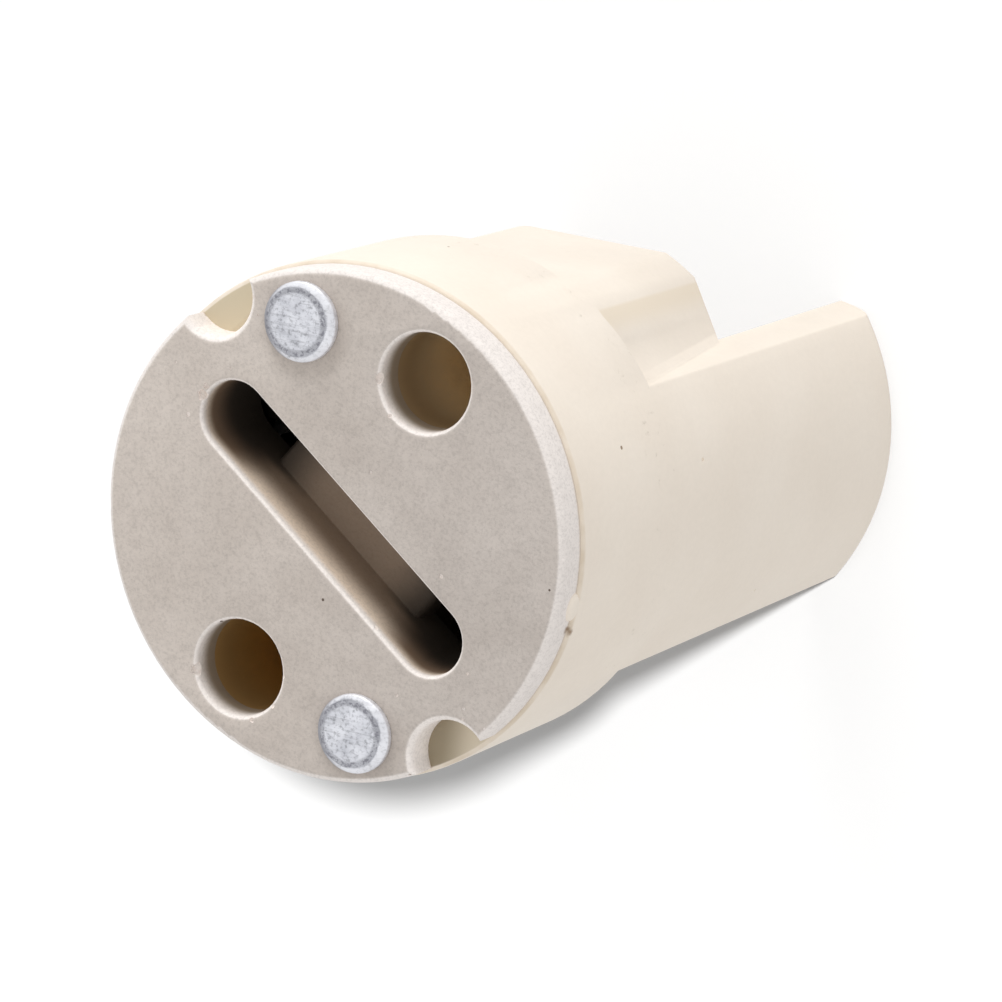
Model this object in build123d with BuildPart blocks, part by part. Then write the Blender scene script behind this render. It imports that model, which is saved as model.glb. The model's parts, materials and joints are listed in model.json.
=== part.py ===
from build123d import *
import math
import os

# A two-pin lamp holder of pressed ceramic. It stands on the ends of its two tall walls,
# with the rear plate on top. X runs along the lamp slot. Millimetres.

# Heights, stacked from the free ends of the tall walls up to the rear face
wall_height = 13.2
block_height = 9.45
ring_height = 8.35
plate_thickness = 1.5

# Body and plate outline, the plate a little smaller so that its rim never overhangs
body_radius = 10.55
plate_rim_step = 0.15
body_edge_chamfer = 0.15
plate_edge_fillet = 0.35

# Tall walls at the two ends of the lamp slot
guard_spacing = 14.0
guard_half_width = 6.0
guard_end_tilt = 9.0
guard_tip_fillet = 1.0

# Lamp slot, with a shallow groove of the same width up the inside of each tall wall
lamp_slot_length = 14.8
lamp_slot_width = 5.8
lamp_slot_depth = 5.4
lamp_slot_lead_in = 0.5
core_wall = 1.5

# Fixing holes through the blocks, for M3 screws at 15 mm pitch
fixing_edge_distance = 3.05
fixing_angle = 61.6
fixing_hole_diameter = 4.0

# Relief beside each block, a flat chord next to the tall wall
relief_angle = 30.0
relief_depth = 1.1

# Rivets
rivet_edge_distance = 2.25
rivet_angle = 104.5
rivet_shank_diameter = 1.6
rivet_hole_clearance = 0.1
rivet_boss_wall = 0.65
rivet_head_diameter = 3.25
rivet_head_height = 0.4
rivet_head_chamfer = 0.12
rivet_set_diameter = 2.8
rivet_set_height = 0.5
rivet_set_chamfer = 0.25

# Trough in the rear plate, with a lead outlet at each end
trough_angle = -36.5
trough_length = 15.0
trough_width = 3.0
trough_depth = 3.2
trough_edge_fillet = 0.2
trough_floor_thickness = 1.5
outlet_length = 3.1
plate_boss_wall = 1.3
plate_boss_clearance = 0.15

# Round notches in the rim of the plate
notch_angle = 126.9
notch_radius = 1.66

# Contact pockets and the openings for the loop pins
contact_pitch = 9.0
pocket_floor_thickness = 1.6
pocket_inner_reach = 2.1
pocket_outer_reach = 2.8
pocket_side_reach = 2.2
pocket_corner_radius = 0.6
pocket_crimp_reach = 1.7
pin_opening_length = 3.4
pin_opening_width = 1.8
pin_opening_lead_in = 0.4

# Contact clip
clip_sheet = 0.35
clip_width = 3.0
clip_mouth_half = 1.2
clip_pinch_half = 0.4
clip_shoulder_half = 1.15
clip_pinch_height = 1.5
clip_shoulder_height = 4.0
clip_bend_radius = 0.45
clip_tab_width = 1.0
crimp_inner_radius = 0.65
crimp_length = 2.9
crimp_gap = 0.5
crimp_end_clearance = 0.4

# Backing spring over the clip
spring_sheet = 0.3
spring_width = 2.2
spring_play = 0.08
spring_top_gap = 0.15
spring_end_rise = 0.35

# Angles
lead_in_angle = 45.0
quarter_turn = 90.0
half_turn = 180.0

# Levels and places that follow from the sizes above
ledge_z = wall_height
ring_front_z = ledge_z + block_height
body_rear_z = ring_front_z + ring_height
face_z = body_rear_z + plate_thickness
trough_floor_z = face_z - trough_depth
boss_bottom_z = trough_floor_z - trough_floor_thickness
lamp_slot_roof_z = ledge_z + lamp_slot_depth
pocket_floor_z = lamp_slot_roof_z + pocket_floor_thickness

plate_radius = body_radius - plate_rim_step
fixing_circle_radius = body_radius - fixing_edge_distance
rivet_circle_radius = body_radius - rivet_edge_distance

guard_inner_x = guard_spacing / 2
guard_outer_x = math.sqrt(body_radius**2 - guard_half_width**2)
guard_end_slope = math.tan(math.radians(guard_end_tilt))
core_half_width = lamp_slot_width / 2 + core_wall

rivet_shank_radius = rivet_shank_diameter / 2
rivet_hole_radius = rivet_shank_radius + rivet_hole_clearance
rivet_boss_radius = rivet_hole_radius + rivet_boss_wall
rivet_x = rivet_circle_radius * math.cos(math.radians(rivet_angle))
rivet_y = rivet_circle_radius * math.sin(math.radians(rivet_angle))
block_flat_y = rivet_y + rivet_boss_radius
block_end_x = rivet_x - rivet_boss_radius

contact_x = contact_pitch / 2
outlet_reach = (trough_length - outlet_length) / 2
outlet_x = outlet_reach * math.cos(math.radians(trough_angle))
outlet_y = outlet_reach * math.sin(math.radians(trough_angle))
crimp_outer_radius = crimp_inner_radius + clip_sheet

clip_pinch_z = pocket_floor_z + clip_pinch_height
clip_shoulder_z = pocket_floor_z + clip_shoulder_height
clip_top_z = boss_bottom_z - spring_top_gap - spring_sheet - clip_sheet
bay_floor_z = clip_top_z - crimp_length - crimp_end_clearance
spring_offset = clip_sheet + spring_play
spring_end_z = clip_pinch_z + spring_end_rise
clip_leg_slope = (clip_shoulder_half - clip_pinch_half) / (clip_shoulder_z - clip_pinch_z)
spring_end_half = clip_pinch_half + clip_leg_slope * spring_end_rise


def guard_end_y(x):
    """Height of a tall wall's end face above the X axis, at the distance x from the centre."""
    return guard_half_width + (guard_outer_x - x) * guard_end_slope


def ray(angle, length):
    """A step of the given length in the plan, at the given angle from X."""
    return Vector(length, 0).rotate(Axis.Z, angle)


# The relief's chord meets the end face of the tall wall at this corner
relief_distance = body_radius - relief_depth
relief_cos = math.cos(math.radians(relief_angle))
relief_sin = math.sin(math.radians(relief_angle))
relief_end_y = guard_end_y(0)
relief_x = (relief_distance - relief_sin * relief_end_y) / (relief_cos - relief_sin * guard_end_slope)
relief_corner = Vector(relief_x, guard_end_y(relief_x))

# Ceramic body
with BuildPart() as ceramic_body:
    with BuildSketch(Plane.XY.offset(ring_front_z)):
        Circle(body_radius)
    extrude(amount=ring_height)

    # Low tower: a disc, cut back to the core between each block and the tall wall behind it
    with BuildSketch(Plane.XY.offset(ledge_z)) as low_tower:
        Circle(body_radius)
        with PolarLocations(0, 2):
            with Locations((0, block_flat_y)):
                Rectangle(2 * body_radius, body_radius, align=(Align.CENTER, Align.MIN), mode=Mode.SUBTRACT)
            Polygon(
                (block_end_x, core_half_width),
                (block_end_x, 2 * body_radius),
                (-2 * body_radius, 2 * body_radius),
                (-2 * body_radius, guard_end_y(2 * body_radius)),
                (-guard_inner_x, guard_end_y(guard_inner_x)),
                (-guard_inner_x, core_half_width),
                align=None,
                mode=Mode.SUBTRACT,
            )
            Polygon(
                relief_corner,
                relief_corner + ray(-guard_end_tilt, body_radius),
                relief_corner + ray(-guard_end_tilt, body_radius) + ray(relief_angle + quarter_turn, body_radius),
                relief_corner + ray(relief_angle + quarter_turn, body_radius),
                align=None,
                mode=Mode.SUBTRACT,
            )
        for turn in (1, -1):
            corner = Vector(turn * block_end_x, turn * block_flat_y, ledge_z)
            fillet(low_tower.vertices().sort_by_distance(corner)[0], radius=rivet_boss_radius)
    extrude(amount=block_height)

    # Tall walls at both ends of the lamp slot
    with BuildSketch():
        with PolarLocations(0, 2):
            Polygon(
                (guard_inner_x, -guard_end_y(guard_inner_x)),
                (2 * body_radius, -guard_end_y(2 * body_radius)),
                (2 * body_radius, guard_end_y(2 * body_radius)),
                (guard_inner_x, guard_end_y(guard_inner_x)),
                align=None,
            )
        Circle(body_radius, mode=Mode.INTERSECT)
    extrude(amount=wall_height)
    fillet(ceramic_body.edges().group_by(Axis.Z)[0].filter_by(GeomType.CIRCLE), radius=guard_tip_fillet)
    chamfer(ceramic_body.edges().group_by(Axis.Z)[-1], length=body_edge_chamfer)

    # Lamp slot, up between the tall walls and into the low tower
    with BuildSketch():
        Rectangle(lamp_slot_length, lamp_slot_width)
    extrude(amount=lamp_slot_roof_z, mode=Mode.SUBTRACT)
    with BuildSketch(Plane.XY.offset(ledge_z)):
        Rectangle(guard_spacing, lamp_slot_width + 2 * lamp_slot_lead_in)
    extrude(amount=lamp_slot_lead_in, taper=lead_in_angle, mode=Mode.SUBTRACT)

    # Fixing holes and rivet holes
    with Locations(Plane.XY.offset(body_rear_z)):
        with PolarLocations(fixing_circle_radius, 2, start_angle=fixing_angle):
            Hole(fixing_hole_diameter / 2)
        with PolarLocations(rivet_circle_radius, 2, start_angle=rivet_angle):
            Hole(rivet_hole_radius)

    # Contact pockets, open to the rear, each with a shallower bay beside it that takes the crimp
    with BuildSketch(Plane.XY.offset(pocket_floor_z)):
        with PolarLocations(0, 2):
            with Locations((contact_x - pocket_inner_reach, 0)):
                RectangleRounded(
                    pocket_inner_reach + pocket_outer_reach,
                    2 * pocket_side_reach,
                    pocket_corner_radius,
                    align=(Align.MIN, Align.CENTER),
                )
    extrude(amount=body_rear_z - pocket_floor_z, mode=Mode.SUBTRACT)
    with BuildSketch(Plane.XY.offset(bay_floor_z)):
        with PolarLocations(0, 2):
            with Locations((contact_x - pocket_inner_reach, pocket_side_reach)):
                RectangleRounded(
                    pocket_inner_reach + pocket_outer_reach,
                    pocket_side_reach + pocket_crimp_reach - outlet_y,
                    pocket_corner_radius,
                    align=(Align.MIN, Align.MAX),
                )
    extrude(amount=body_rear_z - bay_floor_z, mode=Mode.SUBTRACT)

    # An opening for each loop pin, from the lamp slot into its pocket
    with BuildSketch(Plane.XY.offset(lamp_slot_roof_z)):
        with Locations((contact_x, 0), (-contact_x, 0)):
            Rectangle(pin_opening_length, pin_opening_width)
    extrude(amount=pocket_floor_thickness, mode=Mode.SUBTRACT)
    with BuildSketch(Plane.XY.offset(lamp_slot_roof_z)):
        with Locations((contact_x, 0), (-contact_x, 0)):
            Rectangle(
                pin_opening_length + 2 * pin_opening_lead_in,
                pin_opening_width + 2 * pin_opening_lead_in,
            )
    extrude(amount=pin_opening_lead_in, taper=lead_in_angle, mode=Mode.SUBTRACT)

    # Recess that takes the boss on the inside of the rear plate
    with BuildSketch(Plane.XY.offset(boss_bottom_z)):
        SlotOverall(
            trough_length + 2 * (plate_boss_wall + plate_boss_clearance),
            trough_width + 2 * (plate_boss_wall + plate_boss_clearance),
            rotation=trough_angle,
        )
    extrude(amount=body_rear_z - boss_bottom_z, mode=Mode.SUBTRACT)
ceramic_body.part.label = "ceramic_body"

# Rear plate
with BuildPart() as rear_plate:
    with BuildSketch(Plane.XY.offset(body_rear_z)):
        Circle(plate_radius)
        with PolarLocations(plate_radius, 2, start_angle=notch_angle):
            Circle(notch_radius, mode=Mode.SUBTRACT)
    extrude(amount=plate_thickness)
    fillet(rear_plate.edges().group_by(Axis.Z)[-1], radius=plate_edge_fillet)

    # Boss on the inside, which the body's recess locates, with the trough sunk into it
    with BuildSketch(Plane.XY.offset(boss_bottom_z)):
        SlotOverall(
            trough_length + 2 * plate_boss_wall,
            trough_width + 2 * plate_boss_wall,
            rotation=trough_angle,
        )
    extrude(amount=body_rear_z - boss_bottom_z)
    with BuildSketch(Plane.XY.offset(trough_floor_z)):
        SlotOverall(trough_length, trough_width, rotation=trough_angle)
    extrude(amount=trough_depth, mode=Mode.SUBTRACT)
    trough_rim = rear_plate.faces().sort_by(Axis.Z)[-1].inner_wires()[0]
    fillet(trough_rim.edges(), radius=trough_edge_fillet)

    # Lead outlets through the trough's floor, fixing holes and rivet holes
    with BuildSketch(Plane.XY.offset(boss_bottom_z)):
        SlotOverall(trough_length, trough_width, rotation=trough_angle)
        Rectangle(
            trough_length - 2 * outlet_length,
            2 * trough_width,
            rotation=trough_angle,
            mode=Mode.SUBTRACT,
        )
    extrude(amount=trough_floor_thickness, mode=Mode.SUBTRACT)
    with Locations(Plane.XY.offset(face_z)):
        with PolarLocations(fixing_circle_radius, 2, start_angle=fixing_angle):
            Hole(fixing_hole_diameter / 2)
        with PolarLocations(rivet_circle_radius, 2, start_angle=rivet_angle):
            Hole(rivet_hole_radius)
rear_plate.part.label = "rear_plate"

# Contact clip: a folded strip that grips one loop pin, and a flat tail to the crimp under the lead outlet
with BuildPart() as contact_clip:
    with BuildSketch(Plane.YZ.offset(contact_x)):
        with BuildLine():
            FilletPolyline(
                (clip_mouth_half, pocket_floor_z),
                (clip_pinch_half, clip_pinch_z),
                (clip_shoulder_half, clip_shoulder_z),
                (clip_shoulder_half, clip_top_z),
                (-clip_shoulder_half, clip_top_z),
                (-clip_shoulder_half, clip_shoulder_z),
                (-clip_pinch_half, clip_pinch_z),
                (-clip_mouth_half, pocket_floor_z),
                radius=clip_bend_radius,
            )
            offset(amount=clip_sheet, side=Side.RIGHT)
        make_face()
    extrude(amount=clip_width / 2, both=True)
    with BuildSketch(Plane.XY.offset(clip_top_z)):
        with Locations((contact_x, 0)):
            Rectangle(
                clip_width / 2 + clip_tab_width,
                2 * crimp_outer_radius,
                align=(Align.MIN, Align.CENTER),
            )
        with Locations((contact_x + clip_width / 2 + clip_tab_width, crimp_outer_radius)):
            Rectangle(
                clip_tab_width,
                2 * crimp_outer_radius - outlet_y,
                align=(Align.MAX, Align.MAX),
            )
        with Locations((outlet_x, outlet_y)):
            Rectangle(
                contact_x + clip_width / 2 + clip_tab_width - outlet_x,
                2 * crimp_outer_radius,
                align=(Align.MIN, Align.CENTER),
            )
            Circle(crimp_outer_radius)
            Circle(crimp_inner_radius, mode=Mode.SUBTRACT)
    extrude(amount=clip_sheet)
    with BuildSketch(Plane.XY.offset(clip_top_z)):
        with Locations((outlet_x, outlet_y)):
            Circle(crimp_outer_radius)
            Circle(crimp_inner_radius, mode=Mode.SUBTRACT)
            Rectangle(crimp_gap, 2 * crimp_outer_radius, align=(Align.CENTER, Align.MAX), mode=Mode.SUBTRACT)
    extrude(amount=-crimp_length)

# Backing spring: a steel hairpin that stands over the clip and presses its legs together
with BuildPart() as backing_spring:
    with BuildSketch(Plane.YZ.offset(contact_x)):
        with BuildLine():
            FilletPolyline(
                (spring_end_half + spring_offset, spring_end_z),
                (clip_shoulder_half + spring_offset, clip_shoulder_z),
                (clip_shoulder_half + spring_offset, clip_top_z + clip_sheet),
                (-clip_shoulder_half - spring_offset, clip_top_z + clip_sheet),
                (-clip_shoulder_half - spring_offset, clip_shoulder_z),
                (-spring_end_half - spring_offset, spring_end_z),
                radius=clip_bend_radius,
            )
            offset(amount=spring_sheet, side=Side.RIGHT)
        make_face()
    extrude(amount=spring_width / 2, both=True)

# Rivet: flat head on the rear plate, shank through plate and block, set head on the ledge
with BuildPart() as rivet:
    with BuildSketch(Plane.XY.offset(ledge_z)):
        with Locations((rivet_x, rivet_y)):
            Circle(rivet_shank_radius)
    extrude(amount=face_z - ledge_z)
    with BuildSketch(Plane.XY.offset(face_z)):
        with Locations((rivet_x, rivet_y)):
            Circle(rivet_head_diameter / 2)
    extrude(amount=rivet_head_height)
    chamfer(rivet.edges().group_by(Axis.Z)[-1], length=rivet_head_chamfer)
    with BuildSketch(Plane.XY.offset(ledge_z)):
        with Locations((rivet_x, rivet_y)):
            Circle(rivet_set_diameter / 2)
    extrude(amount=-rivet_set_height)
    chamfer(rivet.edges().group_by(Axis.Z)[0], length=rivet_set_chamfer)

# The second contact, spring and rivet are half a turn round the holder's axis from the first
pieces = {"ceramic_body": ceramic_body.part, "rear_plate": rear_plate.part}
for name, piece in (
    ("contact_clip", contact_clip.part),
    ("backing_spring", backing_spring.part),
    ("rivet", rivet.part),
):
    pieces[name + "_a"] = piece
    pieces[name + "_b"] = piece.rotate(Axis.Z, half_turn)

os.makedirs("parts", exist_ok=True)
for name, piece in pieces.items():
    piece.label = name
    export_step(piece, f"parts/{name}.step")
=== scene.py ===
import bpy
import json
import math
import random
from mathutils import Matrix, Vector

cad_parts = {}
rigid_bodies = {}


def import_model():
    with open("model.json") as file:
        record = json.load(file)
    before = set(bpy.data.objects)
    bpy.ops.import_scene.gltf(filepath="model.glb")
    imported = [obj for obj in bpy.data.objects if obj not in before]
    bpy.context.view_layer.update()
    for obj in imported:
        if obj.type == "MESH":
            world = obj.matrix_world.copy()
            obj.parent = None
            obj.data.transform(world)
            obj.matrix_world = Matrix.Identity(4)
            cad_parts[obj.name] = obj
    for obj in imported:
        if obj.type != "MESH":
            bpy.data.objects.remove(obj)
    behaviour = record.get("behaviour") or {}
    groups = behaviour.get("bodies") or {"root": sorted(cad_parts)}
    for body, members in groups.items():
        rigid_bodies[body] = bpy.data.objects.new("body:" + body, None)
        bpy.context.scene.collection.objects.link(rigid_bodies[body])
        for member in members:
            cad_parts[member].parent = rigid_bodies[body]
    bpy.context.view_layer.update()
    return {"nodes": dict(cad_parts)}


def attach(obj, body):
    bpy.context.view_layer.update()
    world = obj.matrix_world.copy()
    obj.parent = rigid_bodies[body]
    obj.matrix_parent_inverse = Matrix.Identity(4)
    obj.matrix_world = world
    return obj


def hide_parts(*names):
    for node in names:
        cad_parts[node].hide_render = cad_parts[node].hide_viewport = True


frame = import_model()
mm = 0.001
faceZ = 32.5   # flat rear face of the plate
seamZ = 31.0   # where the plate meets the body
print("frame loaded:", len(frame["nodes"]), "nodes")


# Helpers for meshes

weldGap = 0.002     # the frame's triangles come loose and are merged over this gap
flatAngle = 0.3     # coplanar triangles become one face up to this angle
levelGap = 0.01     # how far a point may lie from the level that it is sought on
lineGap = 0.02      # how far it may lie from a line on that level


def deselectAll():
    if bpy.context.object and bpy.context.object.mode != "OBJECT":
        bpy.ops.object.mode_set(mode="OBJECT")
    bpy.ops.object.select_all(action="DESELECT")


def pick(obj):
    deselectAll()
    obj.select_set(True)
    bpy.context.view_layer.objects.active = obj


def applyModifiers(obj):
    pick(obj)
    for modifier in list(obj.modifiers):
        bpy.ops.object.modifier_apply(modifier=modifier.name)


def mergedCopy(nodeName, pieceName):
    piece = bpy.data.objects.new(pieceName, frame["nodes"][nodeName].data.copy())
    piece.data.name = pieceName
    bpy.context.scene.collection.objects.link(piece)
    pick(piece)
    piece.data.materials.clear()
    bpy.ops.mesh.customdata_custom_splitnormals_clear()
    bpy.ops.object.mode_set(mode="EDIT")
    bpy.ops.mesh.select_all(action="SELECT")
    bpy.ops.mesh.remove_doubles(threshold=weldGap * mm)
    bpy.ops.mesh.dissolve_limited(angle_limit=math.radians(flatAngle))
    bpy.ops.object.mode_set(mode="OBJECT")
    return piece


def softenEdges(obj, width, limit=40):
    bevel = obj.modifiers.new("softEdges", "BEVEL")
    bevel.width = width * mm
    bevel.segments = 2
    bevel.limit_method = "ANGLE"
    bevel.angle_limit = math.radians(limit)
    bevel.use_clamp_overlap = False
    applyModifiers(obj)


def roundEdges(obj, test, width, segments):
    pick(obj)
    points = obj.data.vertices
    for vertex in points:
        vertex.select = False
    for face in obj.data.polygons:
        face.select = False
    for edge in obj.data.edges:
        first, last = (points[i].co / mm for i in edge.vertices)
        edge.select = test(first) and test(last) and test((first + last) / 2)
    print("edges rounded:", sum(edge.select for edge in obj.data.edges))
    bpy.ops.object.mode_set(mode="EDIT")
    bpy.ops.mesh.select_mode(type="EDGE")
    bpy.ops.mesh.bevel(offset=width * mm, segments=segments, affect="EDGES")
    bpy.ops.object.mode_set(mode="OBJECT")


def smoothByAngle(obj, angle=30):
    pick(obj)
    bpy.ops.object.shade_smooth_by_angle(angle=math.radians(angle))


# Helpers for materials

mixSockets = {"factor": 0, "first": 6, "second": 7, "result": 2}   # of a Mix node set to colours


def newMaterial(name, roughness):
    material = bpy.data.materials.new(name)
    material.use_nodes = True
    shader = material.node_tree.nodes["Principled BSDF"]
    shader.inputs["Roughness"].default_value = roughness
    return material, material.node_tree, shader


def addNode(tree, kind, **settings):
    node = tree.nodes.new(kind)
    for key, value in settings.items():
        setattr(node, key, value)
    return node


def maths(tree, operation, first, second=None):
    node = addNode(tree, "ShaderNodeMath", operation=operation)
    for socket, value in zip(node.inputs, (first, second)):
        if isinstance(value, (int, float)):
            socket.default_value = value
        elif value is not None:
            tree.links.new(value, socket)
    return node.outputs[0]


def times(tree, first, *others):
    product = first
    for other in others:
        product = maths(tree, "MULTIPLY", product, other)
    return product


def noise(tree, place, scale, detail=3.0, rough=0.5):
    node = addNode(tree, "ShaderNodeTexNoise")
    node.inputs["Scale"].default_value = scale
    node.inputs["Detail"].default_value = detail
    node.inputs["Roughness"].default_value = rough
    tree.links.new(place, node.inputs["Vector"])
    return node.outputs["Fac"]


def ramp(tree, factor, *stops):
    node = addNode(tree, "ShaderNodeValToRGB")
    for element, (position, colour) in zip(node.color_ramp.elements, stops):
        element.position = position
        if not isinstance(colour, tuple):
            colour = (colour, colour, colour)
        element.color = (*colour, 1.0)
    tree.links.new(factor, node.inputs["Fac"])
    return node.outputs["Color"]


def mixColour(tree, factor, first, second, blend="MIX"):
    node = addNode(tree, "ShaderNodeMix", data_type="RGBA", blend_type=blend)
    for name, value in (("factor", factor), ("first", first), ("second", second)):
        socket = node.inputs[mixSockets[name]]
        if isinstance(value, (int, float)):
            socket.default_value = value
        elif isinstance(value, tuple):
            socket.default_value = (*value, 1.0)
        else:
            tree.links.new(value, socket)
    return node.outputs[mixSockets["result"]]


def pinholes(tree, place, scale, size, share):
    cells = addNode(tree, "ShaderNodeTexVoronoi")
    cells.inputs["Scale"].default_value = scale
    tree.links.new(place, cells.inputs["Vector"])
    near = maths(tree, "LESS_THAN", cells.outputs["Distance"], size)
    split = addNode(tree, "ShaderNodeSeparateColor")
    tree.links.new(cells.outputs["Color"], split.inputs["Color"])
    chosen = maths(tree, "LESS_THAN", split.outputs["Red"], share)
    return times(tree, near, chosen)


def bump(tree, shader, depths, **heights):
    last = None
    for name, height in heights.items():
        strength, distance = depths[name]
        node = addNode(tree, "ShaderNodeBump")
        node.inputs["Strength"].default_value = strength
        node.inputs["Distance"].default_value = distance * mm
        tree.links.new(height, node.inputs["Height"])
        if last:
            tree.links.new(last, node.inputs["Normal"])
        last = node.outputs["Normal"]
    tree.links.new(last, shader.inputs["Normal"])


def objectPlace(tree):
    return addNode(tree, "ShaderNodeTexCoord").outputs["Object"]


def splitAxes(tree, place):
    split = addNode(tree, "ShaderNodeSeparateXYZ")
    tree.links.new(place, split.inputs[0])
    return split.outputs


def mapped(tree, place, scale=(1, 1, 1), turn=0):
    node = addNode(tree, "ShaderNodeMapping")
    node.inputs["Scale"].default_value = scale
    node.inputs["Rotation"].default_value = (0, 0, math.radians(turn))
    tree.links.new(place, node.inputs["Vector"])
    return node.outputs["Vector"]


def pointDistance(tree, place, point):
    gap = addNode(tree, "ShaderNodeVectorMath", operation="DISTANCE")
    gap.inputs[1].default_value = [v * mm for v in point]
    tree.links.new(place, gap.inputs[0])
    return gap.outputs["Value"]


def axisDistance(tree, place, axes):
    flat = addNode(tree, "ShaderNodeVectorMath", operation="MULTIPLY")
    flat.inputs[1].default_value = (1, 1, 0)
    tree.links.new(place, flat.inputs[0])
    nearest = None
    for x, y in axes:
        gap = pointDistance(tree, flat.outputs[0], (x, y, 0))
        nearest = maths(tree, "MINIMUM", nearest, gap) if nearest else gap
    return nearest


def blendOver(tree, value, start, end):
    node = addNode(tree, "ShaderNodeMapRange", interpolation_type="SMOOTHSTEP")
    node.inputs["From Min"].default_value = start * mm
    node.inputs["From Max"].default_value = end * mm
    tree.links.new(value, node.inputs["Value"])
    return node.outputs["Result"]


# Places that several finishes share, as x and y

centreAxis = ((0, 0),)
fixingHoles = ((3.567, 6.597), (-3.567, -6.597))
rivetAxes = ((-2.078, 8.036), (2.078, -8.036))
ringAxes = ((-2.20, 8.03), (1.96, -8.04))      # the dark mottled ring lies a little to one side, as painted shade of the shaded flank
shadeAxes = ((-1.78, 8.10), (2.38, -7.98))     # dark side of each head
# painted shadow round each rivet, offset from its axis
rivetShadowAxes = ((-1.90, 7.75), (2.25, -8.30))
radiusBlend = 0.05   # half the width over which a tint ends at a radius


def inside(tree, radius, limit):
    return blendOver(tree, radius, limit + radiusBlend, limit - radiusBlend)


def outside(tree, radius, limit):
    return blendOver(tree, radius, limit - radiusBlend, limit + radiusBlend)


# Brown spot and dark pores, on both ceramics

stain = {
    "place": (10.42, -2.35, 31.08),   # beside the lump
    "reach": 0.42,
    "core": 0.4,                      # share of the reach that is fully brown
    "ragged": 0.5,
    "raggedGrain": (3000, 3),
    "colour": (0.260, 0.160, 0.085),
}


def addMarks(tree, place, colour, specks, speckColour):
    ragged = maths(tree, "SUBTRACT", noise(tree, place, *stain["raggedGrain"]), 0.5)
    ragged = times(tree, ragged, stain["ragged"] * mm)
    gap = maths(tree, "ADD", pointDistance(tree, place, stain["place"]), ragged)
    share = blendOver(tree, gap, stain["reach"], stain["core"] * stain["reach"])
    colour = mixColour(tree, share, colour, stain["colour"])
    return mixColour(tree, specks, colour, speckColour)


# Cream ceramic of the body

bodyFinish = {
    "pale": (0.965, 0.873, 0.762),
    "deep": (0.937, 0.840, 0.726),
    "relief": (0.860, 0.745, 0.590),      # painted shade under the ridge, on the upper part of the relief beside each block
    "seam": (0.640, 0.520, 0.370),        # dirt drawn into the parting line
    "boreShadeUpper": ((0.300, 0.200, 0.100), (0.960, 0.770, 0.480)),   # painted shade in the upper fixing hole, amber: at the seam, then deeper
    # painted shade in the lower fixing hole, darker amber: at the seam, then deeper
    "boreShadeLower": ((0.300, 0.175, 0.060), (0.560, 0.310, 0.075)),
    # painted shade: near black inside the contact pockets and the ring
    "pocket": (0.080, 0.055, 0.035),
    "rearShadeUpper": (0.635, 0.545, 0.390),   # painted shade on the bare rear face behind the two notches; this one in the upper notch
    # painted shade in the lower notch, darker towards the notch wall at smaller x
    "rearShadeLower": ((0.330, 0.270, 0.180), (0.680, 0.590, 0.450)),
    "scuff": (0.600, 0.530, 0.420),       # rubbed places near the ring's front edge
    "speck": (0.330, 0.240, 0.160),
    "grainShare": 0.5,
    "scuffShare": 0.45,
    "reliefShadeShare": 0.8,
    "seamShare": 0.6,
    "roughness": 0.52,
    "roughLow": -0.06,
    "roughHigh": 0.10,
}

bodyGrain = {   # scale, detail and roughness, and for the specks scale, size and share
    "mottle": (190, 4),
    "grain": (3800, 5, 0.6),
    "patchy": (900, 3),
    "rubbed": (2600, 6, 0.75),
    "specks": (420, 0.040, 0.22),
}

bodyTones = {   # stops of each ramp
    "mottle": ((0.35, bodyFinish["deep"]), (0.65, bodyFinish["pale"])),
    "grain": ((0.3, 0.94), (0.7, 1.0)),
    "rubbed": ((0.60, 0.0), (0.66, 1.0)),
    "scuffPatch": ((0.48, 0.0), (0.58, 1.0)),
    "seamPatch": ((0.38, 0.45), (0.62, 1.0)),
}

bodyBumps = {"mottle": (0.08, 0.05), "grain": (0.20, 0.012), "dents": (0.6, 0.03)}

bodyAreas = {   # where each tint begins and where it is full
    "scuffTop": (25.5, 23.5),
    "scuffFoot": (21.5, 22.7),
    "pocketLevel": (19.9, 20.15),
    "pocketSide": (4.40, 4.25),
    "ringLevel": (22.70, 22.75),
    "reliefInner": (9.38, 9.44),
    "reliefOuter": (10.50, 10.42),
    "reliefNear": (7.4, 8.3),
    "reliefFar": (9.3, 9.0),
    "reliefTop": (22.62, 22.60),
    "upperHalf": (-1.0, 1.0),
    "boreDepth": (seamZ - 0.5, seamZ - 4.5),
    "boreWall": (2.45, 2.15),
    "boreFoot": (14.0, 17.0),
    "rearLight": (5.1, 6.8),
    "rearLevel": (seamZ - 0.03, seamZ - 0.005),
    "rearHole": (2.3, 2.6),
    "seamLevel": (seamZ - 0.22, seamZ - 0.10),
}

bodyRadii = {"pocket": 8.4, "ring": 9.3, "rear": 10.38}


def bodyArea(tree, value, name):
    return blendOver(tree, value, *bodyAreas[name])


def bodyScuffs(tree, place, height, patchy):
    rubbed = ramp(tree, noise(tree, place, *bodyGrain["rubbed"]), *bodyTones["rubbed"])
    patch = ramp(tree, patchy, *bodyTones["scuffPatch"])
    foot = bodyArea(tree, height, "scuffFoot")
    return times(tree, bodyArea(tree, height, "scuffTop"), foot, patch, rubbed)


# Painted shade: near black deep in the contact pockets and inside the ring
def shadePockets(tree, colour, height, radius, aside):
    inPocket = times(
        tree,
        bodyArea(tree, height, "pocketLevel"),
        inside(tree, radius, bodyRadii["pocket"]),
        bodyArea(tree, aside, "pocketSide"),
    )
    inRing = times(
        tree,
        bodyArea(tree, height, "ringLevel"),
        inside(tree, radius, bodyRadii["ring"]),
    )
    share = maths(tree, "MAXIMUM", inPocket, inRing)
    return mixColour(tree, share, colour, bodyFinish["pocket"])


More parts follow.
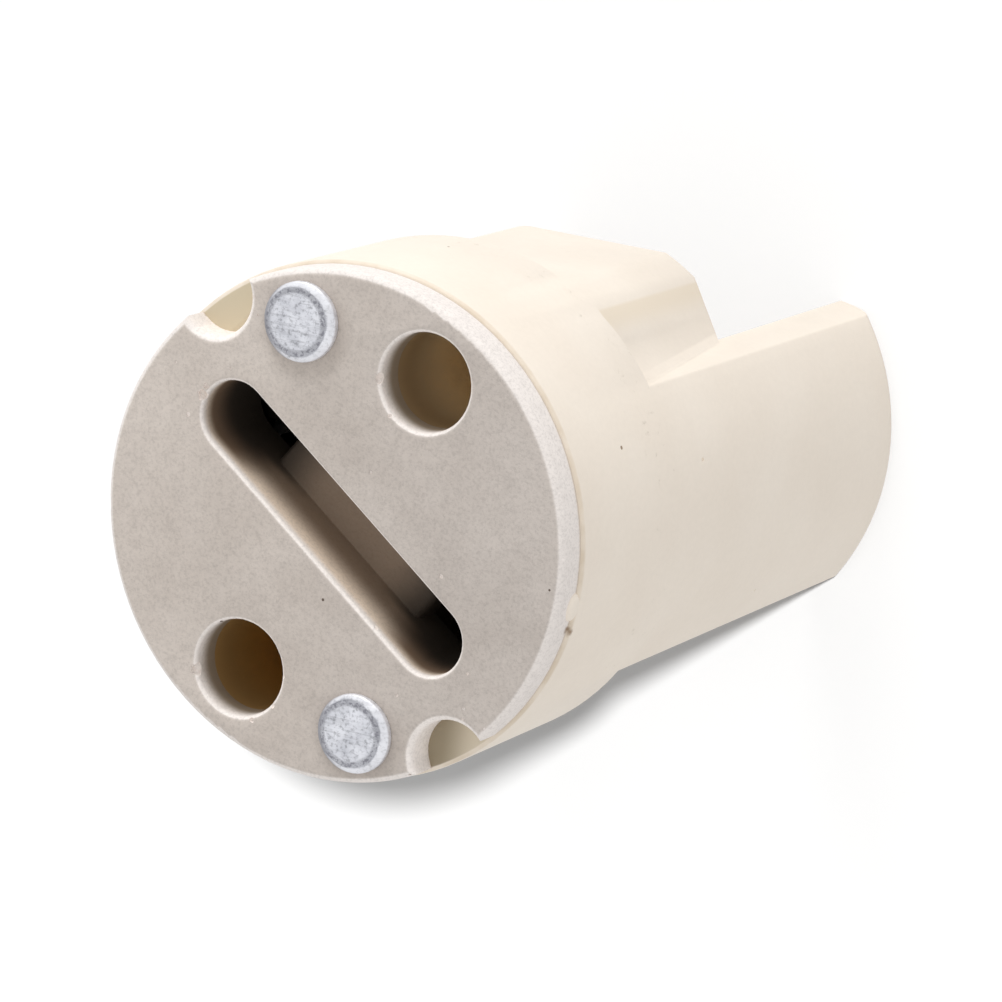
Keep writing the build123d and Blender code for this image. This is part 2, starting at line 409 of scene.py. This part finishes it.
# Painted shade on the upper part of the relief beside each block, under the ridge
def shadeRelief(tree, colour, height, radius, aside):
    share = times(
        tree,
        bodyArea(tree, radius, "reliefInner"),
        bodyArea(tree, radius, "reliefOuter"),
        bodyArea(tree, aside, "reliefNear"),
        bodyArea(tree, aside, "reliefFar"),
        bodyArea(tree, height, "reliefTop"),
        bodyFinish["reliefShadeShare"],
    )
    return mixColour(tree, share, colour, bodyFinish["relief"])


# Painted shade: amber darkening down the fixing holes from the seam on
def shadeBores(tree, colour, height, holeGap, upper):
    depth = bodyArea(tree, height, "boreDepth")
    lowerBore = mixColour(tree, depth, *bodyFinish["boreShadeLower"])
    upperBore = mixColour(tree, depth, *bodyFinish["boreShadeUpper"])
    foot = bodyArea(tree, height, "boreFoot")
    share = times(tree, bodyArea(tree, holeGap, "boreWall"), foot)
    return mixColour(tree, share, colour, mixColour(tree, upper, lowerBore, upperBore))


# Painted shade on the rear face seen through the notches, darkest by the lower notch's wall
def shadeRear(tree, colour, at, radius, holeGap, upper):
    lower = mixColour(tree, bodyArea(tree, at["X"], "rearLight"), *bodyFinish["rearShadeLower"])
    share = times(
        tree,
        bodyArea(tree, at["Z"], "rearLevel"),
        inside(tree, radius, bodyRadii["rear"]),
        bodyArea(tree, holeGap, "rearHole"),
    )
    return mixColour(tree, share, colour, mixColour(tree, upper, lower, bodyFinish["rearShadeUpper"]))


def tintBodySeam(tree, colour, height, radius, patchy, seamShare):
    share = times(
        tree,
        bodyArea(tree, height, "seamLevel"),
        outside(tree, radius, bodyRadii["rear"]),
        ramp(tree, patchy, *bodyTones["seamPatch"]),
        seamShare,
    )
    return mixColour(tree, share, colour, bodyFinish["seam"])


def varyRoughness(tree, shader, mottle):
    rough = addNode(tree, "ShaderNodeMapRange")
    rough.inputs["To Min"].default_value = bodyFinish["roughness"] + bodyFinish["roughLow"]
    rough.inputs["To Max"].default_value = bodyFinish["roughness"] + bodyFinish["roughHigh"]
    tree.links.new(mottle, rough.inputs["Value"])
    tree.links.new(rough.outputs["Result"], shader.inputs["Roughness"])


def makeCreamCeramic(name, seamShare):
    material, tree, shader = newMaterial(name, bodyFinish["roughness"])
    place = objectPlace(tree)
    at = splitAxes(tree, place)
    radius = axisDistance(tree, place, centreAxis)
    holeGap = axisDistance(tree, place, fixingHoles)
    aside = maths(tree, "ABSOLUTE", at["Y"])
    upper = bodyArea(tree, at["Y"], "upperHalf")
    mottle = noise(tree, place, *bodyGrain["mottle"])
    grain = noise(tree, place, *bodyGrain["grain"])
    patchy = noise(tree, place, *bodyGrain["patchy"])
    specks = pinholes(tree, place, *bodyGrain["specks"])
    scuffs = bodyScuffs(tree, place, at["Z"], patchy)

    colour = ramp(tree, mottle, *bodyTones["mottle"])
    fine = ramp(tree, grain, *bodyTones["grain"])
    colour = mixColour(tree, bodyFinish["grainShare"], colour, fine, "MULTIPLY")
    rubbed = times(tree, scuffs, bodyFinish["scuffShare"])
    colour = mixColour(tree, rubbed, colour, bodyFinish["scuff"])
    colour = shadePockets(tree, colour, at["Z"], radius, aside)
    colour = shadeRelief(tree, colour, at["Z"], radius, aside)
    colour = shadeBores(tree, colour, at["Z"], holeGap, upper)
    colour = shadeRear(tree, colour, at, radius, holeGap, upper)
    colour = tintBodySeam(tree, colour, at["Z"], radius, patchy, seamShare)
    colour = addMarks(tree, place, colour, specks, bodyFinish["speck"])
    tree.links.new(colour, shader.inputs["Base Color"])

    varyRoughness(tree, shader, mottle)
    dents = times(tree, maths(tree, "MAXIMUM", specks, scuffs), -1.0)
    bump(tree, shader, bodyBumps, mottle=mottle, grain=grain, dents=dents)
    return material


# Grey ceramic of the rear plate

plateFinish = {
    "pale": (0.715, 0.640, 0.578),
    "deep": (0.625, 0.553, 0.495),
    "side": (0.885, 0.890, 0.900),    # the plate is a little darker towards +X
    "litFlank": (1.000, 0.930, 0.880),   # painted light: walls of holes, notches and trough made lighter, as if lit
    "rim": (0.930, 0.865, 0.820),     # painted light: outer edge of the plate made lighter, as if lit
    "troughShade": (0.190, 0.125, 0.080),   # painted shade, dark brown, in the bottom of the trough
    "outletShade": (0.035, 0.026, 0.018),   # painted shade, near black, inside the lead outlets at the trough's ends
    "warm": (0.950, 0.860, 0.740),    # upper part of the trough's walls
    "boreShade": (0.300, 0.235, 0.170),    # painted shade on the walls of the fixing holes
    "rivetShadow": (0.360, 0.300, 0.250),  # painted shadow on the face round the rivets, offset to their lower side
    "seam": (0.560, 0.450, 0.330),    # dirt drawn into the parting line
    "speck": (0.130, 0.095, 0.075),
    "rivetShadowShare": 0.25,
    "grainShare": 0.8,
    "coarseShare": 0.7,
    "seamShare": 0.7,
    "roughness": 0.72,
}

plateGrain = {
    "mottle": (260, 5, 0.55),
    "coarse": (2300, 4, 0.6),
    "grain": (8200, 6, 0.7),
    "specks": (620, 0.050, 0.16),
}

plateTones = {
    "mottle": ((0.32, plateFinish["deep"]), (0.68, plateFinish["pale"])),
    "coarse": ((0.34, 0.92), (0.56, 1.0)),
    "grain": ((0.36, 0.80), (0.54, 1.0)),
}

plateBumps = {
    "mottle": (0.30, 0.08),
    "coarse": (0.45, 0.035),
    "grain": (0.70, 0.018),
    "dents": (0.7, 0.03),
}

plateAreas = {
    "side": (-7.0, 8.0),
    "rivetShadow": (2.35, 1.55),
    "flankLevel": (faceZ - 0.003, faceZ - 0.05),
    "boreWall": (2.20, 2.08),
    "boreLevel": (faceZ - 0.15, faceZ - 1.1),
    "seamLevel": (seamZ + 0.14, seamZ),
}

plateRadii = {"rim": 9.8, "seam": 10.2}

troughLine = {
    "turn": 36.5,
    "halfLength": 8.2,
    "halfWidth": 1.8,
    "wallFade": (3.4, 5.6),     # the painted shade on the walls deepens towards the lead outlets
    "floorFade": (1.9, 4.3),    # the painted shade on the floor deepens before its own ends
}

troughTintsAndShade = (   # zone, depths where it begins and is full, share, colour, blend; all but the warm tint are painted shade
    ("trough", 0.15, 0.6, 1.0, "warm", "MULTIPLY"),
    ("trough", 0.3, 2.3, 0.83, "troughShade", "MIX"),
    ("walls", 0.15, 1.0, 1.0, "troughShade", "MIX"),
    ("walls", 0.8, 2.6, 1.0, "outletShade", "MIX"),
    ("floor", 2.4, 3.1, 0.85, "outletShade", "MIX"),
)


def plateArea(tree, value, name):
    return blendOver(tree, value, *plateAreas[name])


def troughZones(tree, place):
    turned = splitAxes(tree, mapped(tree, place, turn=troughLine["turn"]))
    along = maths(tree, "ABSOLUTE", turned["X"])
    across = maths(tree, "ABSOLUTE", turned["Y"])
    inWidth = maths(tree, "LESS_THAN", across, troughLine["halfWidth"] * mm)
    inLength = maths(tree, "LESS_THAN", along, troughLine["halfLength"] * mm)
    trough = times(tree, inWidth, inLength)
    walls = times(tree, trough, blendOver(tree, along, *troughLine["wallFade"]))
    floor = times(tree, trough, blendOver(tree, along, *troughLine["floorFade"]))
    return {"trough": trough, "walls": walls, "floor": floor}


# Painted shade: the trough darkens with depth, its lead outlets near black
def tintAndShadeTrough(tree, colour, place, height):
    zones = troughZones(tree, place)
    for zone, start, full, strength, tint, blend in troughTintsAndShade:
        depth = blendOver(tree, height, faceZ - start, faceZ - full)
        share = times(tree, zones[zone], depth, strength)
        colour = mixColour(tree, share, colour, plateFinish[tint], blend)
    return colour


def makeGreyCeramic():
    material, tree, shader = newMaterial("greyCeramic", plateFinish["roughness"])
    place = objectPlace(tree)
    at = splitAxes(tree, place)
    radius = axisDistance(tree, place, centreAxis)
    mottle = noise(tree, place, *plateGrain["mottle"])
    coarse = noise(tree, place, *plateGrain["coarse"])
    grain = noise(tree, place, *plateGrain["grain"])
    specks = pinholes(tree, place, *plateGrain["specks"])

    colour = ramp(tree, mottle, *plateTones["mottle"])
    darker = mixColour(tree, 1.0, colour, plateFinish["side"], "MULTIPLY")
    colour = mixColour(tree, plateArea(tree, at["X"], "side"), colour, darker)
    # Painted shadow on the face round each rivet, to its lower side
    rivetShadowed = plateArea(tree, axisDistance(tree, place, rivetShadowAxes), "rivetShadow")
    rivetShadowed = times(tree, rivetShadowed, plateFinish["rivetShadowShare"])
    colour = mixColour(tree, rivetShadowed, colour, plateFinish["rivetShadow"])
    # Painted light: walls and outer edge lighter than the face, as if lit from the side
    atRim = outside(tree, radius, plateRadii["rim"])
    litFlank = mixColour(tree, atRim, plateFinish["litFlank"], plateFinish["rim"])
    colour = mixColour(tree, plateArea(tree, at["Z"], "flankLevel"), colour, litFlank)
    fine = ramp(tree, grain, *plateTones["grain"])
    colour = mixColour(tree, plateFinish["grainShare"], colour, fine, "MULTIPLY")
    rougher = ramp(tree, coarse, *plateTones["coarse"])
    colour = mixColour(tree, plateFinish["coarseShare"], colour, rougher, "MULTIPLY")
    colour = tintAndShadeTrough(tree, colour, place, at["Z"])
    # Painted shade darkening the walls of the fixing holes
    shadedBore = plateArea(tree, axisDistance(tree, place, fixingHoles), "boreWall")
    shadedBore = times(tree, shadedBore, plateArea(tree, at["Z"], "boreLevel"))
    colour = mixColour(tree, shadedBore, colour, plateFinish["boreShade"])
    atSeam = times(
        tree,
        plateArea(tree, at["Z"], "seamLevel"),
        outside(tree, radius, plateRadii["seam"]),
        plateFinish["seamShare"],
    )
    colour = mixColour(tree, atSeam, colour, plateFinish["seam"])
    colour = addMarks(tree, place, colour, specks, plateFinish["speck"])
    tree.links.new(colour, shader.inputs["Base Color"])

    dents = times(tree, specks, -1.0)
    bump(tree, shader, plateBumps, mottle=mottle, coarse=coarse, grain=grain, dents=dents)
    return material


# Metals of the rivets, the contacts and their springs

rivetFinish = {
    "bright": (0.80, 0.81, 0.86),
    "dull": (0.56, 0.57, 0.62),
    "dark": (0.22, 0.22, 0.25),
    # painted highlight round the outer edge of each head
    "rim": (0.93, 0.93, 0.96),
    "pitShare": 0.55,
    "scratchShare": 0.5,
    "rimShare": 0.45,
    "shadeShare": 0.75,
    "metal": 0.55,
    "roughness": 0.48,
}

rivetGrain = {
    "cloud": (1300, 5, 0.65),
    "pits": (5200, 4, 0.7),
    "scratches": (1500, 3, 0.6),
    "ringMottle": (5200, 4, 0.75),
}

rivetTones = {
    "cloud": ((0.30, rivetFinish["dull"]), (0.62, rivetFinish["bright"])),
    "pits": ((0.36, 0.36), (0.49, 1.0)),
    "scratches": ((0.36, 0.60), (0.5, 1.0)),
    "ringMottle": ((0.42, 0.20), (0.56, 0.95)),
}

rivetBumps = {"cloud": (0.40, 0.03), "scratches": (0.45, 0.014), "pits": (0.7, 0.02)}

rivetAreas = {
    "ringInner": (1.08, 1.24),
    "ringOuter": (1.46, 1.36),
    "rim": (1.40, 1.50),
    "shade": (1.66, 1.88),
    "wander": 0.26,               # how far the rings stray from a true circle
    "stretch": (0.35, 5.0, 1.0),  # draws the scratches out
    "turn": -6,
}


def rivetArea(tree, value, name):
    return blendOver(tree, value, *rivetAreas[name])


def makeRivetMetal():
    material, tree, shader = newMaterial("rivetMetal", rivetFinish["roughness"])
    shader.inputs["Metallic"].default_value = rivetFinish["metal"]
    place = objectPlace(tree)
    drawn = mapped(tree, place, rivetAreas["stretch"], rivetAreas["turn"])
    cloud = noise(tree, place, *rivetGrain["cloud"])
    pits = noise(tree, place, *rivetGrain["pits"])
    scratches = noise(tree, drawn, *rivetGrain["scratches"])

    colour = ramp(tree, cloud, *rivetTones["cloud"])
    pitted = ramp(tree, pits, *rivetTones["pits"])
    colour = mixColour(tree, rivetFinish["pitShare"], colour, pitted, "MULTIPLY")
    scratched = ramp(tree, scratches, *rivetTones["scratches"])
    colour = mixColour(tree, rivetFinish["scratchShare"], colour, scratched, "MULTIPLY")
    wander = times(tree, maths(tree, "SUBTRACT", cloud, 0.5), rivetAreas["wander"] * mm)
    radius = maths(tree, "ADD", axisDistance(tree, place, ringAxes), wander)
    # Dark mottled ring, shifted as painted shade towards the head's shaded side
    ring = times(
        tree,
        rivetArea(tree, radius, "ringInner"),
        rivetArea(tree, radius, "ringOuter"),
        ramp(tree, noise(tree, place, *rivetGrain["ringMottle"]), *rivetTones["ringMottle"]),
    )
    colour = mixColour(tree, ring, colour, rivetFinish["dark"])
    # Painted highlight on the outer edge of the head
    rim = times(tree, rivetArea(tree, radius, "rim"), rivetFinish["rimShare"])
    colour = mixColour(tree, rim, colour, rivetFinish["rim"])
    shade = maths(tree, "ADD", axisDistance(tree, place, shadeAxes), wander)
    shade = times(tree, rivetArea(tree, shade, "shade"), rivetFinish["shadeShare"])
    colour = mixColour(tree, shade, colour, rivetFinish["dark"])
    tree.links.new(colour, shader.inputs["Base Color"])

    bump(tree, shader, rivetBumps, cloud=cloud, scratches=scratches, pits=pits)
    return material


stripFinish = {
    "contactMetal": {
        "bright": (0.80, 0.70, 0.50),
        "dull": (0.62, 0.52, 0.34),
        "roughness": 0.35,
    },
    "springMetal": {
        "bright": (0.68, 0.68, 0.70),
        "dull": (0.50, 0.50, 0.52),
        "roughness": 0.30,
    },
}

stripWear = {
    "stretch": (6.0, 1.0, 0.4),
    "rolled": (900, 3, 0.6),
    "dullAt": 0.35,
    "brightAt": 0.65,
    "bumps": {"rolled": (0.2, 0.01)},
    "crimpShade": (0.05, 0.038, 0.026),   # painted shade, near black, towards the crimps
    "crimpShadeLevel": (23.5, 26.0),
}


def makeStripMetal(name):
    finish = stripFinish[name]
    material, tree, shader = newMaterial(name, finish["roughness"])
    shader.inputs["Metallic"].default_value = 1.0
    place = objectPlace(tree)
    height = splitAxes(tree, place)["Z"]
    rolled = noise(tree, mapped(tree, place, stripWear["stretch"]), *stripWear["rolled"])
    tones = ((stripWear["dullAt"], finish["dull"]), (stripWear["brightAt"], finish["bright"]))
    colour = ramp(tree, rolled, *tones)
    # Painted shade: the strips go near black towards the crimps
    crimpShaded = blendOver(tree, height, *stripWear["crimpShadeLevel"])
    colour = mixColour(tree, crimpShaded, colour, stripWear["crimpShade"])
    tree.links.new(colour, shader.inputs["Base Color"])
    bump(tree, shader, stripWear["bumps"], rolled=rolled)
    return material


creamCeramic = makeCreamCeramic("creamCeramic", bodyFinish["seamShare"])
lumpCeramic = makeCreamCeramic("lumpCeramic", 0.0)
greyCeramic = makeGreyCeramic()
rivetMetal = makeRivetMetal()
contactMetal = makeStripMetal("contactMetal")
springMetal = makeStripMetal("springMetal")
print("finishes made")


# Chips and pinholes, cut as real hollows

hollowTool = {"subdivisions": 2, "smallest": 0.75, "largest": 1.15}


def carve(piece, hollows, seed):
    deselectAll()
    random.seed(seed)
    tools = []
    for x, y, z, size, flat in hollows:
        bpy.ops.mesh.primitive_ico_sphere_add(
            subdivisions=hollowTool["subdivisions"],
            radius=size * mm,
            location=(x * mm, y * mm, z * mm),
        )
        tool = bpy.context.object
        for vertex in tool.data.vertices:
            vertex.co *= random.uniform(hollowTool["smallest"], hollowTool["largest"])
            vertex.co.z *= flat
        tools.append(tool)
    deselectAll()
    for tool in tools:
        tool.select_set(True)
    bpy.context.view_layer.objects.active = tools[0]
    bpy.ops.object.join()
    cutter = bpy.context.object
    cut = piece.modifiers.new("hollows", "BOOLEAN")
    cut.object = cutter
    cut.operation = "DIFFERENCE"
    cut.solver = "EXACT"
    applyModifiers(piece)
    bpy.data.objects.remove(cutter)


# Ceramic body

bodyShape = {
    "soften": 0.08,
    "reliefCorner": (7.324, 6.215),   # where the relief beside a block meets the tall wall
    "reliefRound": 1.25,
    "reliefSteps": 10,
    "seed": 3,
    "hollows": (   # x, y, z, size, flatness
        (10.28, -2.38, 31.10, 0.20, 1.0),
        (10.55, -0.55, 31.05, 0.14, 1.0),
        (10.17, 2.81, 19.97, 0.10, 1.0),
        (9.58, -4.41, 11.73, 0.06, 1.0),
    ),
}


def onReliefCorner(point):
    x, y = bodyShape["reliefCorner"]
    gaps = (math.hypot(point.x - x, point.y - y), math.hypot(point.x + x, point.y + y))
    return min(gaps) < lineGap


def makeBody():
    piece = mergedCopy("ceramic_body", "moulded_body")
    roundEdges(piece, onReliefCorner, bodyShape["reliefRound"], bodyShape["reliefSteps"])
    softenEdges(piece, bodyShape["soften"])
    carve(piece, bodyShape["hollows"], bodyShape["seed"])
    smoothByAngle(piece)
    piece.data.materials.append(creamCeramic)
    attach(piece, "root")
    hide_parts("ceramic_body")
    print("body:", len(piece.data.polygons), "faces")


# Rear plate

plateShape = {
    "holeRadius": 2.0,
    "holeRim": 0.22,
    "holeSteps": 4,
    "holeGap": 0.03,
    "floorZ": 29.3,
    "floorEnd": 4.4,
    "floorSide": 1.5,
    "sideRound": 0.50,
    "sideSteps": 5,
    "endRound": 0.35,
    "endSteps": 3,
    "seed": 5,
    "hollows": (
        (-6.36, 4.22, 32.40, 0.26, 0.8),    # nicks in the trough's upper end
        (-6.20, 4.60, 32.44, 0.16, 0.8),
        (2.45, -3.58, 32.30, 0.16, 0.8),    # nick in the trough's lower edge
        (1.56, 6.38, 32.38, 0.26, 0.9),     # nicks round the fixing holes
        (5.36, 7.42, 32.46, 0.11, 0.9),
        (2.18, 5.00, 32.46, 0.10, 0.9),
        (2.62, 8.33, 32.46, 0.10, 0.9),
        (-3.68, -4.66, 32.42, 0.20, 0.9),
        (-5.52, -7.10, 32.36, 0.30, 0.9),
        (-1.92, -5.50, 32.46, 0.12, 0.9),
        (-1.50, -6.48, 32.46, 0.11, 0.9),
        (-2.73, -8.60, 32.46, 0.12, 0.9),
        (-1.84, -7.80, 32.46, 0.12, 0.9),
        (-6.93, 3.31, 32.50, 0.10, 1.0),    # pinholes and dents in the face
        (-4.44, 8.58, 32.45, 0.08, 1.0),
        (-7.70, 5.31, 32.50, 0.06, 0.8),
        (-5.15, 5.53, 32.50, 0.05, 1.0),
        (-4.13, 7.90, 32.50, 0.05, 1.0),
        (3.74, -6.11, 32.50, 0.06, 1.0),
        (6.72, -6.43, 32.50, 0.07, 1.0),
        (6.73, -6.00, 32.50, 0.09, 0.5),
        (7.72, -6.60, 32.50, 0.08, 0.6),
        (8.38, -6.76, 32.30, 0.07, 1.0),
        (4.58, -9.20, 32.35, 0.08, 1.0),
        (1.58, 2.61, 32.50, 0.08, 0.6),
        (5.15, -0.90, 32.50, 0.10, 0.8),
        (6.75, -4.55, 32.50, 0.07, 1.0),
        (10.36, -2.38, 31.45, 0.20, 1.3),   # crevice under the rim by the lump
    ),
}


def onHoleRim(point):
    gap = min(math.hypot(point.x - x, point.y - y) for x, y in fixingHoles)
    onWall = abs(gap - plateShape["holeRadius"]) < plateShape["holeGap"]
    return onWall and abs(point.z - faceZ) < levelGap


def alongTrough(point):
    turn = math.radians(troughLine["turn"])
    along = abs(point.x * math.cos(turn) - point.y * math.sin(turn))
    across = abs(point.x * math.sin(turn) + point.y * math.cos(turn))
    return along, across


def onFloorSide(point):
    along, across = alongTrough(point)
    onFloor = abs(point.z - plateShape["floorZ"]) < levelGap
    onSide = abs(across - plateShape["floorSide"]) < lineGap
    return onFloor and onSide and along < plateShape["floorEnd"] + lineGap


def onFloorEnd(point):
    along, across = alongTrough(point)
    onRound = -levelGap < point.z - plateShape["floorZ"] < plateShape["sideRound"] + levelGap
    return onRound and abs(along - plateShape["floorEnd"]) < lineGap


def makePlate():
    piece = mergedCopy("rear_plate", "pressed_plate")
    roundEdges(piece, onHoleRim, plateShape["holeRim"], plateShape["holeSteps"])
    roundEdges(piece, onFloorSide, plateShape["sideRound"], plateShape["sideSteps"])
    roundEdges(piece, onFloorEnd, plateShape["endRound"], plateShape["endSteps"])
    carve(piece, plateShape["hollows"], plateShape["seed"])
    smoothByAngle(piece)
    piece.data.materials.append(greyCeramic)
    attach(piece, "root")
    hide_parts("rear_plate")
    print("plate:", len(piece.data.polygons), "faces")


# Rivets

rivetShape = {
    "topNormal": 0.99,
    "topShare": 0.90,     # top face against the CAD one, for a rounder shoulder
    "rimWidth": 0.03,
    "grooveWidth": 0.06,
    "groove": 0.015,
    "crown": 0.8,         # how far the middle rises out of the groove again
    "soften": 0.06,
    "softAngle": 25,
    "smoothAngle": 40,
}


def selectTop(piece, top):
    pick(piece)
    bpy.ops.object.mode_set(mode="EDIT")
    bpy.ops.mesh.select_mode(type="FACE")
    bpy.ops.mesh.select_all(action="DESELECT")
    bpy.ops.object.mode_set(mode="OBJECT")
    for face in piece.data.polygons:
        level = face.center.z > top - levelGap * mm
        face.select = level and face.normal.z > rivetShape["topNormal"]
    bpy.ops.object.mode_set(mode="EDIT")


def makeRivet(nodeName, pieceName, axis):
    piece = mergedCopy(nodeName, pieceName)
    top = max(vertex.co.z for vertex in piece.data.vertices)
    middle = (axis[0] * mm, axis[1] * mm, top)
    share = rivetShape["topShare"]
    groove = rivetShape["groove"] * mm
    selectTop(piece, top)
    bpy.ops.transform.resize(value=(share, share, 1), center_override=middle)
    bpy.ops.mesh.inset(thickness=rivetShape["rimWidth"] * mm)
    bpy.ops.mesh.inset(thickness=rivetShape["grooveWidth"] * mm)
    bpy.ops.transform.translate(value=(0, 0, -groove))
    bpy.ops.mesh.inset(thickness=rivetShape["grooveWidth"] * mm)
    bpy.ops.transform.translate(value=(0, 0, rivetShape["crown"] * groove))
    bpy.ops.object.mode_set(mode="OBJECT")
    softenEdges(piece, rivetShape["soften"], rivetShape["softAngle"])
    smoothByAngle(piece, rivetShape["smoothAngle"])
    piece.data.materials.append(rivetMetal)
    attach(piece, "root")
    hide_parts(nodeName)
    print("rivet:", pieceName, len(piece.data.polygons), "faces")


# Lump of ceramic at the parting line

lumpShape = {
    "place": (10.24, -1.32, 31.12),
    "reach": (0.30, 0.60, 0.46),
    "subdivisions": 4,
    "uneven": 0.02,
    "unevenSeed": 4,
    "turn": 7,
    "smoothAngle": 60,
}


def makeLump():
    deselectAll()
    bpy.ops.mesh.primitive_ico_sphere_add(
        subdivisions=lumpShape["subdivisions"],
        radius=mm,
        location=(0, 0, 0),
    )
    piece = bpy.context.object
    piece.name = piece.data.name = "seam_lump"
    bpy.ops.object.mode_set(mode="EDIT")
    bpy.ops.mesh.select_all(action="SELECT")
    bpy.ops.transform.resize(value=lumpShape["reach"])
    bpy.ops.transform.vertex_random(
        offset=lumpShape["uneven"] * mm,
        uniform=0.4,
        normal=0.8,
        seed=lumpShape["unevenSeed"],
    )
    bpy.ops.mesh.vertices_smooth(factor=0.5, repeat=2)
    turn = math.radians(lumpShape["turn"])
    bpy.ops.transform.rotate(value=turn, orient_axis="Z", center_override=(0, 0, 0))
    bpy.ops.transform.translate(value=[v * mm for v in lumpShape["place"]])
    bpy.ops.object.mode_set(mode="OBJECT")
    smoothByAngle(piece, lumpShape["smoothAngle"])
    piece.data.materials.append(lumpCeramic)
    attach(piece, "root")
    print("lump:", len(piece.data.polygons), "faces")


makeBody()
makePlate()
makeRivet("rivet_a", "rivet_upper", rivetAxes[0])
makeRivet("rivet_b", "rivet_lower", rivetAxes[1])
makeLump()
for side in "ab":
    frame["nodes"]["contact_clip_" + side].material_slots[0].material = contactMetal
    frame["nodes"]["backing_spring_" + side].material_slots[0].material = springMetal
print("pieces made")


# Floor, lights and camera

floorLook = {
    "size": 3.0,
    "colour": 0.30,
    "seen": 0.44,       # what the camera sees
    "spread": 1.02,
    "spreadFrom": 0.4,
    "spreadTo": 0.6,
    "paint": (3, 2),
    "roughness": 0.9,
}


def floorTone(tree, paint, level):
    lighter = level * floorLook["spread"]
    return ramp(tree, paint, (floorLook["spreadFrom"], level), (floorLook["spreadTo"], lighter))


def makeFloor():
    deselectAll()
    bpy.ops.mesh.primitive_plane_add(size=floorLook["size"], location=(0, 0, 0))
    floor = bpy.context.object
    floor.name = "studio_floor"
    material, tree, shader = newMaterial("floorPaint", floorLook["roughness"])
    shader.inputs["Specular IOR Level"].default_value = 0.0
    paint = noise(tree, objectPlace(tree), *floorLook["paint"])
    direct = addNode(tree, "ShaderNodeLightPath").outputs["Is Camera Ray"]
    dim = floorTone(tree, paint, floorLook["colour"])
    bright = floorTone(tree, paint, floorLook["seen"])
    tree.links.new(mixColour(tree, direct, dim, bright), shader.inputs["Base Color"])
    floor.data.materials.append(material)
    return floor


lightLook = {
    "sky": 0.785,
    "keyLight": {"level": 0.49, "softness": 28, "source": (-0.17, 0.97, 0.18)},
    "floorLight": {"level": 1.70, "softness": 3, "source": (0.400, 0.3135, 0.861)},
}


def makeSky():
    world = bpy.data.worlds.new("studioSky")
    bpy.context.scene.world = world
    world.use_nodes = True
    tree = world.node_tree
    sky = tree.nodes["Background"]
    sky.inputs["Color"].default_value = (1, 1, 1, 1)
    path = addNode(tree, "ShaderNodeLightPath")
    direct = maths(tree, "MAXIMUM", path.outputs["Is Camera Ray"], path.outputs["Is Glossy Ray"])
    direct = maths(tree, "MAXIMUM", direct, path.outputs["Is Transmission Ray"])
    tree.links.new(maths(tree, "MAXIMUM", direct, lightLook["sky"]), sky.inputs["Strength"])


def makeSun(name):
    look = lightLook[name]
    deselectAll()
    turn = Vector(look["source"]).to_track_quat("Z", "Y").to_euler()
    bpy.ops.object.light_add(type="SUN", rotation=turn)
    lamp = bpy.context.object
    lamp.name = name
    lamp.data.energy = look["level"] * math.pi
    lamp.data.angle = math.radians(look["softness"])
    return lamp


def lightOnly(lamp, receiver):
    receivers = bpy.data.collections.new("floorOnly")
    receivers.objects.link(receiver)
    lamp.light_linking.receiver_collection = receivers


shot = {
    "place": (91.74, 48.58, 201.88),
    "right": (0.8796, 0.1002, -0.4650),
    "up": (-0.1970, 0.9666, -0.1642),
    "lens": 179.64,
    "near": 10,
}


def makeCamera():
    right = Vector(shot["right"]).normalized()
    up = Vector(shot["up"])
    up = (up - right * up.dot(right)).normalized()
    turn = Matrix((right, up, right.cross(up))).transposed().to_euler()
    deselectAll()
    bpy.ops.object.camera_add(location=[v * mm for v in shot["place"]], rotation=turn)
    camera = bpy.context.object
    camera.data.lens = shot["lens"]
    camera.data.clip_start = shot["near"] * mm
    bpy.context.scene.camera = camera


studioFloor = makeFloor()
makeSky()
makeSun("keyLight")
lightOnly(makeSun("floorLight"), studioFloor)   # gives the short shadow, and the object none of it
makeCamera()
bpy.context.scene.view_settings.view_transform = "Standard"
print("stage, lights and camera made")
